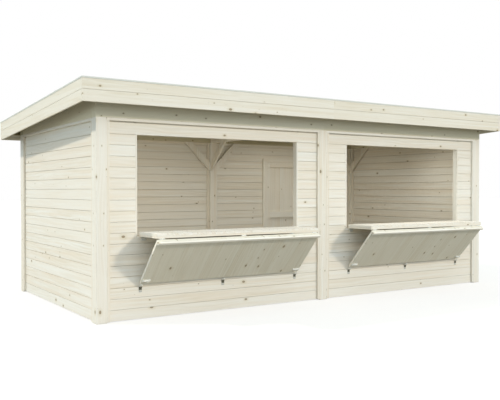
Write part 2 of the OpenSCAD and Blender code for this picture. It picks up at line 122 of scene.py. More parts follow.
class Signal:
    """A shader socket that takes part in Python arithmetic."""

    def __init__(self, graph: "Graph", socket: bpy.types.NodeSocket | None) -> None:
        """Keep the socket and the graph that new Math nodes go to."""
        self.graph = graph
        self.socket = socket

    def _math(self, operation: str, *values: Any) -> "Signal":
        """Add a Math node on these values and return its result."""
        sockets = dict(enumerate(values))
        return self.graph.node("ShaderNodeMath", {"operation": operation}, sockets)

    def __add__(self, other: Any) -> "Signal":
        """Sum."""
        return self._math("ADD", self, other)

    def __radd__(self, other: Any) -> "Signal":
        """Sum with the number first."""
        return self._math("ADD", other, self)

    def __sub__(self, other: Any) -> "Signal":
        """Difference."""
        return self._math("SUBTRACT", self, other)

    def __rsub__(self, other: Any) -> "Signal":
        """Difference with the number first."""
        return self._math("SUBTRACT", other, self)

    def __mul__(self, other: Any) -> "Signal":
        """Product."""
        return self._math("MULTIPLY", self, other)

    def __rmul__(self, other: Any) -> "Signal":
        """Product with the number first."""
        return self._math("MULTIPLY", other, self)

    def __truediv__(self, other: Any) -> "Signal":
        """Quotient."""
        return self._math("DIVIDE", self, other)

    def __rtruediv__(self, other: Any) -> "Signal":
        """Quotient with the number first."""
        return self._math("DIVIDE", other, self)

    def __gt__(self, other: Any) -> "Signal":
        """One where this is the greater, otherwise zero."""
        return self._math("GREATER_THAN", self, other)

    def floor(self) -> "Signal":
        """Largest whole number that isn't greater."""
        return self._math("FLOOR", self)

    def size(self) -> "Signal":
        """Value without its sign."""
        return self._math("ABSOLUTE", self)

    def sine(self) -> "Signal":
        """Sine of the value in radians."""
        return self._math("SINE", self)

    def greater(self, other: Any) -> "Signal":
        """The greater of the two values."""
        return self._math("MAXIMUM", self, other)

    def also(self, out: Any) -> "Signal":
        """Another output of the same node."""
        return Signal(self.graph, self.socket.node.outputs[out])

    def rise(self, low: Any, high: Any) -> "Signal":
        """Smooth step from zero at low to one at high.

        Args:
            low: Value where the step starts.
            high: Value where the step ends.

        Returns:
            The step, between zero and one.
        """
        settings = {"interpolation_type": "SMOOTHSTEP"}
        return self.graph.node("ShaderNodeMapRange", settings, {0: self, 1: low, 2: high})


class Graph:
    """Node graph of one material or world, built from Python expressions."""

    def __init__(self, owner: bpy.types.Material | bpy.types.World) -> None:
        """Clear the owner's nodes for a new graph.

        Args:
            owner: Material or world that the graph belongs to.
        """
        self.owner = owner
        owner.use_nodes = True
        self.tree = owner.node_tree
        self.tree.nodes.clear()

    @classmethod
    def of_material(cls, name: str) -> "Graph":
        """Start the graph of a new material."""
        return cls(bpy.data.materials.new(name))

    def node(self, kind: str, settings: dict[str, Any], sockets: dict[Any, Any], out: Any = 0) -> Signal:
        """Add one node.

        Args:
            kind: Blender's type name of the node.
            settings: Properties of the node, set before its sockets.
            sockets: Value or signal for each input, by name or place.
            out: Name or place of the output that is returned.

        Returns:
            The chosen output, without a socket for a node that ends the graph.
        """
        made = self.tree.nodes.new(kind)
        for key, value in settings.items():
            setattr(made, key, value)
        for key, value in sockets.items():
            if isinstance(value, Signal):
                self.tree.links.new(value.socket, made.inputs[key])
            else:
                made.inputs[key].default_value = value
        return Signal(self, made.outputs[out] if made.outputs else None)

    def place(self, shift: Vector | None = None, lean: float = 0.0) -> tuple[Signal, Signal, Signal]:
        """Coordinates of the piece in metres, along x, y and z.

        Args:
            shift: Origin of a leaning piece's own frame.
            lean: Turn of that frame about x, in radians.

        Returns:
            The three coordinates.
        """
        spot = self.node("ShaderNodeTexCoord", {}, {}, "Object")
        if shift is not None:
            sockets = {"Vector": spot, "Location": shift, "Rotation": (lean, 0.0, 0.0)}
            spot = self.node("ShaderNodeMapping", {"vector_type": "TEXTURE"}, sockets)
        first = self.node("ShaderNodeSeparateXYZ", {}, {0: spot})
        return first, first.also(1), first.also(2)

    def vector(self, x: Any, y: Any, z: Any) -> Signal:
        """Vector of three values."""
        return self.node("ShaderNodeCombineXYZ", {}, {0: x, 1: y, 2: z})

    def noise(self, spot: Signal, scale: float, detail: float = 3.0, rough: float = 0.55) -> Signal:
        """Soft noise between about zero and one."""
        sockets = {"Vector": spot, "Scale": scale, "Detail": detail, "Roughness": rough}
        return self.node("ShaderNodeTexNoise", {}, sockets)

    def dice(self, seed: Any) -> Signal:
        """One even random value for each value of the seed."""
        return self.node("ShaderNodeTexWhiteNoise", {"noise_dimensions": "1D"}, {"W": seed})

    def mix(self, share: Any, first: Any, second: Any) -> Signal:
        """Blend two colours.

        Args:
            share: Share of the second colour.
            first: Colour at a share of zero.
            second: Colour at a share of one.

        Returns:
            The blended colour.
        """
        return self.node("ShaderNodeMix", {"data_type": "RGBA"}, {0: share, 6: first, 7: second}, 2)

    def bump(self, height: Signal, depth: float, strength: float = 1.0) -> Signal:
        """Normal of a surface with this relief.

        Args:
            height: Relief between zero and one.
            depth: Depth of the relief in metres.
            strength: Share of the relief that shows.

        Returns:
            The bent normal.
        """
        sockets = {"Strength": strength, "Distance": depth, "Height": height}
        return self.node("ShaderNodeBump", {}, sockets)

    def surface(self, sockets: dict[str, Any]) -> bpy.types.Material:
        """Close the graph with a principled surface.

        Args:
            sockets: Value or signal for each input of the surface, by name.

        Returns:
            The finished material.
        """
        shader = self.node("ShaderNodeBsdfPrincipled", {}, sockets)
        self.node("ShaderNodeOutputMaterial", {}, {"Surface": shader})
        return self.owner

    def seen(self) -> Signal:
        """One for rays from the camera, for reflections and through glass, otherwise zero."""
        camera = self.node("ShaderNodeLightPath", {}, {}, "Is Camera Ray")
        return camera.greater(camera.also("Is Glossy Ray")).greater(camera.also("Is Transmission Ray"))


# Finishes

# Tones of unplaned wood, darkened beyond its own colour as painted shade under the eave and the roof.
RAW_SHADED_TONES = {"pale": "776D46", "warm": "6A6040"}
# Least radius of a knot, in cells
LEAST_KNOT = 0.024


@dataclass(frozen=True)
class Timber:
    """Planed pale softwood: soft streaks along the grain, rings, fibres and dark knots.

    Cells are counts for each metre along and across the grain.
    """

    name: str
    grain: Axis
    stack: Axis = Axis.Z
    pitch: float = 0.9
    start: float = 0.0
    seed: float = 0.0
    shift: tuple[float, float, float] | None = None
    lean: float = 0.0
    pale: str = "F1EDE2"
    warm: str = "EADECA"
    late: str = "D0C3A6"
    knots: float = 0.22
    seam: float = 0.0
    seam_w: float = 0.006
    bent: str = "CFC09C"
    heart: str = "8A7655"
    rim: str = "5A4B35"
    pin: str = "7D6E55"
    streak_cells: tuple[float, float] = (0.8, 24.0)
    drift_cells: tuple[float, float] = (0.75, 6.0)
    fibre_cells: tuple[float, float] = (6.0, 420.0)
    knot_cells: tuple[float, float] = (3.3, 5.2)
    pin_cells: tuple[float, float] = (9.0, 12.0)
    knot_girth: float = 0.05
    pin_girth: float = 0.02
    pin_share: float = 0.2
    ring_slant: float = 0.8
    ring_sway: float = 0.17
    ring_waves: float = 190.0
    relief_depth: float = 0.0006
    relief_share: float = 0.35
    half_shift: float = 57.0
    run_shift: float = 23.0
    dice_steps: tuple[float, float] = (1.37, 2.11)
    dice_starts: tuple[float, float] = (0.31, 11.7)

    def material(self) -> bpy.types.Material:
        """Build the wood's shader.

        Returns:
            The material.
        """
        graph = Graph.of_material(self.name)
        spot = graph.place(Vector(self.shift) if self.shift else None, self.lean)
        cross = [spot[i] for i in range(3) if i != self.grain.value]
        course = (spot[self.stack.value] - self.start) / self.pitch
        board = course.floor()
        half = (spot[0] > 0.0) * self.half_shift
        own, other = [
            graph.dice(board * step + half + (self.seed + start))
            for step, start in zip(self.dice_steps, self.dice_starts)
        ]
        run = spot[self.grain.value] + own * self.run_shift
        streak = self.drawn_out(graph, run, cross, self.streak_cells, detail=4.0, rough=0.6)
        drift = self.drawn_out(graph, run, cross, self.drift_cells)
        slant = cross[1] * self.ring_slant + cross[0] + drift * self.ring_sway
        rings = (slant * self.ring_waves).sine() * 0.5 + 0.5
        fibre = self.drawn_out(graph, run, cross, self.fibre_cells)
        late = rings * drift.rise(0.35, 0.7)
        spread = (run, cross[0] + cross[1])
        heart, rim, halo = self.knot_masks(graph, spread, self.knot_cells, self.knots, self.knot_girth)
        small = self.knots * self.pin_share
        pin, _, _ = self.knot_masks(graph, spread, self.pin_cells, small, self.pin_girth)
        tone = graph.mix(streak.rise(0.3, 0.75), paint(self.pale), paint(self.warm))
        tone = graph.mix(late * 0.32 + fibre.rise(0.45, 0.8) * 0.2, tone, paint(self.late))
        tone = graph.mix(own * 0.45, tone, paint(self.warm))
        tone = graph.mix((other > 0.6) * 0.3, tone, paint(self.pale))
        marks = (
            (halo * 0.35, self.bent),
            (heart * 0.8, self.heart),
            (rim * 0.65, self.rim),
            (pin * 0.6, self.pin),
        )
        for share, code in marks:
            tone = graph.mix(share, tone, paint(code))
        if self.seam > 0.0:
            edge = (course - board - 0.5).size() * 2.0
            joint = edge.rise(1.0 - 2.0 * self.seam_w / self.pitch, 1.0)
            tone = graph.mix(joint * self.seam, tone, paint(self.pin))
        relief = fibre * 0.5 + rings * 0.35 + heart * 0.4
        return graph.surface(
            {
                "Base Color": tone,
                "Roughness": 0.74 - late * 0.1 + fibre * 0.08,
                "Specular IOR Level": 0.25,
                "Normal": graph.bump(relief, self.relief_depth, self.relief_share),
            }
        )

    @staticmethod
    def drawn_out(
        graph: Graph,
        run: Signal,
        cross: list[Signal],
        cells: tuple[float, float],
        detail: float = 2.0,
        rough: float = 0.55,
    ) -> Signal:
        """Noise that is drawn out along the grain.

        Args:
            graph: Graph of the material.
            run: Coordinate along the grain.
            cross: The two coordinates across the grain.
            cells: Cells along and across the grain.
            detail: Number of finer layers.
            rough: Weight of the finer layers.

        Returns:
            The noise, between about zero and one.
        """
        along, across = cells
        spot = graph.vector(run * along, cross[0] * across, cross[1] * across)
        return graph.noise(spot, scale=1.0, detail=detail, rough=rough)

    @staticmethod
    def knot_masks(
        graph: Graph,
        spread: tuple[Signal, Signal],
        cells: tuple[float, float],
        share: float,
        girth: float,
    ) -> tuple[Signal, Signal, Signal]:
        """Scatter round knots over a face.

        Args:
            graph: Graph of the material.
            spread: Coordinates along and across the grain.
            cells: Cells along and across the grain.
            share: Share of the cells that hold a knot.
            girth: Spread of the knots' radius, in cells.

        Returns:
            Masks of the heart, of its dark rim and of the bent grain round it.
        """
        spot = graph.vector(spread[0] * cells[0], spread[1] * cells[1], 0.0)
        sockets = {"Vector": spot, "Scale": 1.0}
        near = graph.node("ShaderNodeTexVoronoi", {"voronoi_dimensions": "2D"}, sockets, "Distance")
        chance = graph.node("ShaderNodeSeparateColor", {}, {0: near.also("Color")})
        lot = chance.also(1)
        radius = lot * lot * girth + LEAST_KNOT
        there = chance > (1.0 - share)
        heart = (1.0 - near.rise(radius * 0.6, radius * 1.1)) * there
        rim = near.rise(radius * 0.55, radius * 0.85) * heart
        halo = (1.0 - near.rise(radius, radius * 3.0)) * there
        return heart, rim, halo


@dataclass(frozen=True)
class Zinc:
    """Zinc-plated steel with a faint mottle."""

    name: str = "zinc_plate"
    bright: str = "F0F0EA"
    dull: str = "CFD0C8"

    def material(self) -> bpy.types.Material:
        """Build the plated steel's shader.

        Returns:
            The material.
        """
        graph = Graph.of_material(self.name)
        spot = graph.vector(*graph.place())
        mottle = graph.noise(spot, scale=90.0)
        wear = graph.noise(spot, scale=900.0, detail=2.0)
        return graph.surface(
            {
                "Base Color": graph.mix(mottle.rise(0.35, 0.7), paint(self.bright), paint(self.dull)),
                "Metallic": 0.4,
                "Roughness": mottle * 0.25 + 0.3,
                "Normal": graph.bump(wear, depth=0.0002, strength=0.4),
            }
        )


@dataclass(frozen=True)
class NailSteel:
    """Bare steel of nail heads, gone dull."""

    name: str = "nail_steel"
    dark: str = "6F6A60"
    light: str = "8C877B"

    def material(self) -> bpy.types.Material:
        """Build the nails' shader.

        Returns:
            The material.
        """
        graph = Graph.of_material(self.name)
        mottle = graph.noise(graph.vector(*graph.place()), scale=300.0)
        tone = graph.mix(mottle, paint(self.dark), paint(self.light))
        return graph.surface({"Base Color": tone, "Metallic": 0.4, "Roughness": 0.55})


@dataclass(frozen=True)
class CatchSteel:
    """Plated spring steel of the catches, coloured in bands by height: a painted highlight on the tip,
    painted shade in a dark band below it, and painted light mixed into the lower part.
    """

    name: str = "catch_steel"
    dark: str = "4A4838"
    bright: str = "E4E4DC"
    dark_from: float = 0.314
    dark_to: float = 0.350
    grey: str = "5F5D4B"
    lit_low_share: float = 0.62
    blur: float = 0.002

    def material(self) -> bpy.types.Material:
        """Build the catches' shader.

        Returns:
            The material.
        """
        graph = Graph.of_material(self.name)
        spot = graph.place()
        mottle = graph.noise(graph.vector(*spot), scale=160.0)
        # Painted highlight above the tip's edge, painted shade in the band below it, and painted light
        # mixed into the lower part.
        lit_tip = spot[2].rise(self.dark_to - self.blur, self.dark_to + self.blur)
        low = 1.0 - spot[2].rise(self.dark_from - self.blur, self.dark_from + self.blur)
        tone = graph.mix(mottle.rise(0.3, 0.7), paint(self.dark), paint(self.grey))
        tone = graph.mix(low * self.lit_low_share, tone, paint(self.bright))
        return graph.surface(
            {
                "Base Color": graph.mix(lit_tip, tone, paint(self.bright)),
                "Metallic": 0.3,
                "Roughness": mottle * 0.2 + 0.45,
            }
        )


@dataclass(frozen=True)
class MineralFelt:
    """Roofing felt strewn with slate granules."""

    name: str = "mineral_felt"
    slate: str = "ADAEA6"
    dark: str = "96978F"
    chip: str = "C2C2BA"

    def material(self) -> bpy.types.Material:
        """Build the felt's shader.

        Returns:
            The material.
        """
        graph = Graph.of_material(self.name)
        spot = graph.vector(*graph.place())
        grain = graph.noise(spot, scale=520.0, detail=2.0, rough=0.7)
        cloud = graph.noise(spot, scale=2.3, detail=4.0)
        tone = graph.mix(grain.rise(0.35, 0.65), paint(self.dark), paint(self.slate))
        tone = graph.mix(grain.rise(0.62, 0.72) * 0.7, tone, paint(self.chip))
        tone = graph.mix(cloud.rise(0.4, 0.75) * 0.35, tone, paint(self.dark))
        relief = graph.bump(grain, depth=0.0012, strength=0.7)
        return graph.surface({"Base Color": tone, "Roughness": 0.9, "Normal": relief})


# Bench tools


def pick(*pieces: bpy.types.Object) -> None:
    """Select some pieces alone.

    Args:
        pieces: The pieces, of which the first becomes active.
    """
    bpy.ops.object.select_all(action="DESELECT")
    for piece in pieces:
        piece.select_set(True)
    bpy.context.view_layer.objects.active = pieces[0]


def mode(name: str) -> None:
    """Go to edit or object mode."""
    bpy.ops.object.mode_set(mode=name)


def block(name: str, low: Vector, high: Vector) -> bpy.types.Object:
    """Add a block between two corners.

    Args:
        name: Name of the block.
        low: Lowest corner.
        high: Highest corner.

    Returns:
        The block, with its place in its mesh.
    """
    bpy.ops.object.select_all(action="DESELECT")
    bpy.ops.mesh.primitive_cube_add(size=1.0, location=(low + high) / 2, scale=high - low)
    made = bpy.context.object
    made.name = name
    bpy.ops.object.transform_apply(location=True, rotation=True, scale=True)
    return made


def ease_edges(
    piece: bpy.types.Object, chosen: Callable[[Vector, Vector], bool], width: float, segments: int = 2
) -> None:
    """Bevel the edges of a piece that a test picks.

    Args:
        piece: Piece to shape.
        chosen: Test on the two ends of an edge.
        width: Width of the bevel.
        segments: Number of facets across the bevel.
    """
    pick(piece)
    mode("EDIT")
    bpy.ops.mesh.select_mode(type="EDGE")
    bpy.ops.mesh.select_all(action="DESELECT")
    mode("OBJECT")
    points = piece.data.vertices
    for edge in piece.data.edges:
        first, second = edge.vertices
        edge.select = chosen(points[first].co, points[second].co)
    mode("EDIT")
    bpy.ops.mesh.bevel(offset=width, offset_type="OFFSET", segments=segments, affect="EDGES")
    mode("OBJECT")


def select_faces(piece: bpy.types.Object, chosen: Callable[[Vector], bool]) -> None:
    """Select some faces of a piece, and no others.

    Args:
        piece: The piece.
        chosen: Test on the normal of a face.
    """
    pick(piece)
    mode("EDIT")
    bpy.ops.mesh.select_mode(type="FACE")
    bpy.ops.mesh.select_all(action="DESELECT")
    mode("OBJECT")
    for face in piece.data.polygons:
        face.select = chosen(face.normal)


def copied(piece: bpy.types.Object, place: Matrix) -> bpy.types.Object:
    """Copy a piece with its own mesh to another place.

    Args:
        piece: Piece to copy.
        place: Move from the piece to its copy.

    Returns:
        The copy.
    """
    twin = piece.copy()
    twin.data = piece.data.copy()
    twin.data.transform(place)
    bpy.context.scene.collection.objects.link(twin)
    return twin


def joined(pieces: list[bpy.types.Object], name: str) -> bpy.types.Object:
    """Join pieces into one mesh.

    Args:
        pieces: Pieces to join.
        name: Name of the joined piece and of its mesh.

    Returns:
        The joined piece.
    """
    pick(*pieces)
    if len(pieces) > 1:
        bpy.ops.object.join()
    whole = bpy.context.view_layer.objects.active
    whole.name = name
    whole.data.name = name
    return whole


def dressed(piece: bpy.types.Object, material: bpy.types.Material) -> bpy.types.Object:
    """Give a piece one material.

    Args:
        piece: Piece to dress.
        material: Its only material.

    Returns:
        The piece.
    """
    piece.data.materials.clear()
    piece.data.materials.append(material)
    return piece


def eased_copy(node: bpy.types.Object, name: str, width: float) -> bpy.types.Object:
    """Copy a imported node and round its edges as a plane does.

    Args:
        node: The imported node's object.
        name: Name of the copy.
        width: Width of the rounding.

    Returns:
        The copy.
    """
    piece = bpy.data.objects.new(name, node.data.copy())
    bpy.context.scene.collection.objects.link(piece)
    pick(piece)
    if piece.data.has_custom_normals:
        bpy.ops.mesh.customdata_custom_splitnormals_clear()
    mode("EDIT")
    bpy.ops.mesh.select_all(action="SELECT")
    bpy.ops.mesh.remove_doubles(threshold=MERGE)
    bpy.ops.mesh.dissolve_limited(angle_limit=FLAT_TURN)
    mode("OBJECT")
    bpy.ops.object.shade_flat()
    rounding = piece.modifiers.new("rounding", "BEVEL")
    rounding.width = width
    rounding.segments = 2
    rounding.limit_method = "ANGLE"
    rounding.angle_limit = EDGE_TURN
    bpy.ops.object.modifier_apply(modifier=rounding.name)
    return piece


def separate_timbers(mesh: bpy.types.Mesh) -> list[list[int]]:
    """Sort the faces of a mesh into its separate timbers.

    Args:
        mesh: Mesh of one or more timbers that don't share a vertex.

    Returns:
        Places of the faces of each timber.
    """
    root = list(range(len(mesh.vertices)))

    def find(vertex: int) -> int:
        """Find the first vertex of a timber.

        Args:
            vertex: Any vertex of the timber.

        Returns:
            The first vertex.
        """
        while root[vertex] != vertex:
            root[vertex] = root[root[vertex]]
            vertex = root[vertex]
        return vertex

    for edge in mesh.edges:
        first, second = edge.vertices
        root[find(first)] = find(second)
    timbers: dict[int, list[int]] = {}
    for face in mesh.polygons:
        timbers.setdefault(find(face.vertices[0]), []).append(face.index)
    return list(timbers.values())


def longest_axis(mesh: bpy.types.Mesh, faces: list[int]) -> Axis:
    """Find the axis along which some faces of a mesh reach farthest.

    Args:
        mesh: Mesh of the faces.
        faces: Places of the faces.

    Returns:
        The axis.
    """
    points = [mesh.vertices[v].co for index in faces for v in mesh.polygons[index].vertices]
    reach = [max(p[i] for p in points) - min(p[i] for p in points) for i in range(3)]
    return Axis(max((2, 0, 1), key=lambda i: round(reach[i], 3)))


class BoardStack:
    """Boards shaped once for each size, copied into place and joined."""

    def __init__(self, grain: Axis, stack: Axis, ease: float, groove: float = 0.0) -> None:
        """Start an empty stack.

        Args:
            grain: Way that the grain runs.
            stack: Way that the boards follow each other.
            ease: Width of the rounding of their edges.
            groove: Width of the groove between two boards.
        """
        self.grain = grain
        self.stack = stack
        self.ease = ease
        self.groove = groove
        self.patterns: dict[tuple[Any, ...], bpy.types.Object] = {}
        self.laid: list[bpy.types.Object] = []

    def pattern(self, size: Vector, first: bool, last: bool, groove: float) -> bpy.types.Object:
        """Board of one size, eased along its long edges, with a tongue where the next board follows.

        Args:
            size: Size of the board with its tongue.
            first: Ease the edges at the low end of the stack.
            last: Ease the edges at the high end of the stack and add the tongue.
            groove: Width of the groove that the tongue crosses.

        Returns:
            The board, with its lowest corner at the origin.
        """
        key = (*[round(v, 5) for v in size], first, last, groove)
        if key not in self.patterns:
            along, up = self.grain.value, self.stack.value
            body = size.copy()
            body[up] -= groove if last else 0.0
            made = block("board", Vector((0, 0, 0)), body)

            def on_long_edge(a: Vector, b: Vector) -> bool:
                """Tell whether an edge runs along the grain at an eased side.

                Args:
                    a: One end of the edge.
                    b: The other end.

                Returns:
                    True if the edge is eased.
                """
                if abs(a[along] - b[along]) < body[along] / 2:
                    return False
                return (first and a[up] < body[up] / 2) or (last and a[up] > body[up] / 2)

            if first or last:
                ease_edges(made, on_long_edge, self.ease)
            if last and groove > 0.0:
                self.add_tongue(made, body[3 - along - up] / 3, groove)
            self.patterns[key] = made
        return self.patterns[key]

    def add_tongue(self, board: bpy.types.Object, depth: float, groove: float) -> None:
        """Draw the middle of a board's upper edge out to the next board.

        Args:
            board: The board.
            depth: Depth of the groove beside the tongue.
            groove: Width of the groove.
        """
        select_faces(board, lambda normal: normal.dot(self.stack.unit) > SQUARE_ON)
        mode("EDIT")
        bpy.ops.mesh.inset(thickness=depth)
        reach = self.stack.unit * groove
        bpy.ops.mesh.extrude_region_move(TRANSFORM_OT_translate={"value": reach})
        mode("OBJECT")

    def lay(
        self,
        low: Vector,
        high: Vector,
        first: bool = True,
        last: bool = True,
        groove: float | None = None,
    ) -> None:
        """Lay one board between two corners.

        Args:
            low: Lowest corner.
            high: Highest corner.
            first: Ease the edges at the low end of the stack.
            last: Ease the edges at the high end of the stack.
            groove: Groove over this board where it isn't the stack's own.
        """
        board = self.pattern(high - low, first, last, self.groove if groove is None else groove)
        self.laid.append(copied(board, Matrix.Translation(low)))

    def lay_row(self, low: Vector, high: Vector, count: int) -> None:
        """Fill a box with equal boards side by side.

        Args:
            low: Lowest corner of the box.
            high: Highest corner of the box.
            count: Number of boards.
        """
        step = (high - low)[self.stack.value] / count
        for i in range(count):
            near, far = low.copy(), high.copy()
            near[self.stack.value] = low[self.stack.value] + i * step
            far[self.stack.value] = near[self.stack.value] + step
            self.lay(near, far)

    def join(self, name: str) -> bpy.types.Object:
        """Join the laid boards and clear the patterns away.

        Args:
            name: Name of the joined boards.

        Returns:
            The joined boards.
        """
        for board in self.patterns.values():
            bpy.data.objects.remove(board)
        self.patterns.clear()
        return joined(self.laid, name)

    def finish(self, name: str, wood: Timber, body: str, *nodes: str) -> bpy.types.Object:
        """Join the laid boards, dress them and let them ride on a body.

        Args:
            name: Name of the joined boards.
            wood: Their wood.
            body: Body that they move with.
            nodes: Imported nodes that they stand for.

        Returns:
            The finished piece.
        """
        return settle(dressed(self.join(name), wood.material()), body, "timber", *nodes)


def settle(piece: bpy.types.Object, body: str, slot: str, *nodes: str) -> bpy.types.Object:
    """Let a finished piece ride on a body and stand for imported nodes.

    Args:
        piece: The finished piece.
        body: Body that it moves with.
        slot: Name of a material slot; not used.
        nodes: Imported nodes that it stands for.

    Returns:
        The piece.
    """
    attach(piece, body)
    if nodes:
        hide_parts(*nodes)
    LOG.info("%s rides on %s, %d faces", piece.name, body, len(piece.data.polygons))
    return piece


# Sub-assemblies


@dataclass
class WallField:
    """One wall field of horizontal boards between posts, notched round its opening."""

    name: str
    nodes: tuple[str, ...]
    grain: Axis
    gap_node: str | None = None
    pitch: float = 0.115
    full_courses: int = 17
    ease: float = 0.0015
    groove: float = 0.004
    seed: float = 0.0
    seam: float = 0.0
    lath_w: float = 0.030
    rebate: float = 0.012

    def courses(self, low: float, high: float) -> list[tuple[float, float]]:
        """Heights of the boards, with a wider one up to the lath and the rest behind the lath.

        Args:
            low: Foot of the field.
            high: Head of the field.

        Returns:
            Foot and head of each board.
        """
        edges = [low + i * self.pitch for i in range(self.full_courses + 1)]
        edges += [high - self.lath_w, high]
        return list(zip(edges, edges[1:]))

    def build(self) -> bpy.types.Object:
        """Model the boards of the field.

        Returns:
            The finished piece.
        """
        boxes = [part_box(node) for node in self.nodes]
        low = Vector([min(b[0][i] for b in boxes) for i in range(3)])
        high = Vector([max(b[1][i] for b in boxes) for i in range(3)])
        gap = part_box(self.gap_node) if self.gap_node else None
        stack = BoardStack(self.grain, Axis.Z, self.ease, self.groove)
        for bottom, top in self.courses(low.z, high.z):
            self.lay_course(stack, low, high, bottom, top, gap)
        name = f"{self.name}_timber"
        wood = Timber(name, self.grain, Axis.Z, self.pitch, low.z, self.seed, seam=self.seam)
        return stack.finish(self.name, wood, "stall", *self.nodes)

    def lay_course(
        self,
        stack: BoardStack,
        low: Vector,
        high: Vector,
        bottom: float,
        top: float,
        gap: tuple[Vector, Vector] | None,
    ) -> None:
        """Lay one course, cut where the opening takes part of it.

        Args:
            stack: Boards of the field.
            low: Lowest corner of the field.
            high: Highest corner of the field.
            bottom: Foot of the course.
            top: Head of the course.
            gap: Corners of the lined opening.
        """
        way = self.grain.value

        def lay(start: float, end: float, foot: float, head: float) -> None:
            """Lay one part of the course.

            Args:
                start: Low end along the grain.
                end: High end along the grain.
                foot: Lower edge.
                head: Upper edge.
            """
            near, far = low.copy(), high.copy()
            near[way], far[way] = start, end
            near.z, far.z = foot, head
            settling = self.rebate if abs(head - (high.z - self.lath_w)) < SAME else None
            stack.lay(near, far, foot == bottom, head == top, settling)

        if gap is None or gap[1].z <= bottom + TOUCH or gap[0].z >= top - TOUCH:
            lay(low[way], high[way], bottom, top)
            return
        lay(low[way], gap[0][way], bottom, top)
        lay(gap[1][way], high[way], bottom, top)
        if gap[0].z > bottom + TOUCH:
            lay(gap[0][way], gap[1][way], bottom, gap[0].z)
        if gap[1].z < top - TOUCH:
            lay(gap[0][way], gap[1][way], gap[1].z, top)


@dataclass
class FrameTimber:
    """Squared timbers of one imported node, eased at the edges, with the grain along each of them."""

    node: str
    seed: float = 0.0
    ease: float = 0.0025
    knots: float = 0.6
    pale: str = Timber.pale
    warm: str = Timber.warm
    # Backs toward the low end of this axis take the dark raw tones with painted shade.
    raw_shaded_toward: Axis | None = None
    inward: float = 1.0
    beam_pitch: float = 0.09
    post_pitch: float = 0.7
    pitch_from: float = 0.05

    def build(self, nodes: dict[str, bpy.types.Object]) -> bpy.types.Object:
        """Ease and dress the timbers.

        Args:
            nodes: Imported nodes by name.

        Returns:
            The finished piece.
        """
        piece = eased_copy(nodes[self.node], f"{self.node}_planed", self.ease)
        piece.data.materials.clear()
        slots: dict[Axis, int] = {}
        for timber in separate_timbers(piece.data):
            grain = longest_axis(piece.data, timber)
            if grain not in slots:
                slots[grain] = len(slots)
                piece.data.materials.append(self.finish(grain).material())
            for index in timber:
                piece.data.polygons[index].material_index = slots[grain]
        if self.raw_shaded_toward:
            self.leave_back_raw_shaded(piece.data, self.raw_shaded_toward.value)
        return settle(piece, "stall", "timber", self.node)

    def leave_back_raw_shaded(self, mesh: bpy.types.Mesh, way: int) -> None:
        """Give the backs of the timbers at the low end of an axis the dark unplaned wood, darkened
        further as painted shade.

        Args:
            mesh: Mesh of the timbers.
            way: Place of the axis that the backs look along.
        """
        raw = len(mesh.materials)
        wood = Timber(f"{self.node}_back", Axis.X, **RAW_SHADED_TONES)
        mesh.materials.append(wood.material())
        for face in mesh.polygons:
            if face.normal[way] > FACING and face.center[way] < -self.inward:
                face.material_index = raw

    def finish(self, grain: Axis) -> Timber:
        """Choose the wood of the timbers whose grain runs one way.

        Args:
            grain: Way that the grain runs.

        Returns:
            The wood.
        """
        upright = grain is Axis.Z
        stack = Axis.X if upright else Axis.Z
        pitch = self.post_pitch if upright else self.beam_pitch
        name = f"{self.node}_{grain.name.lower()}"
        looks = {"pale": self.pale, "warm": self.warm, "knots": self.knots}
        return Timber(name, grain, stack, pitch, self.pitch_from, self.seed, **looks)


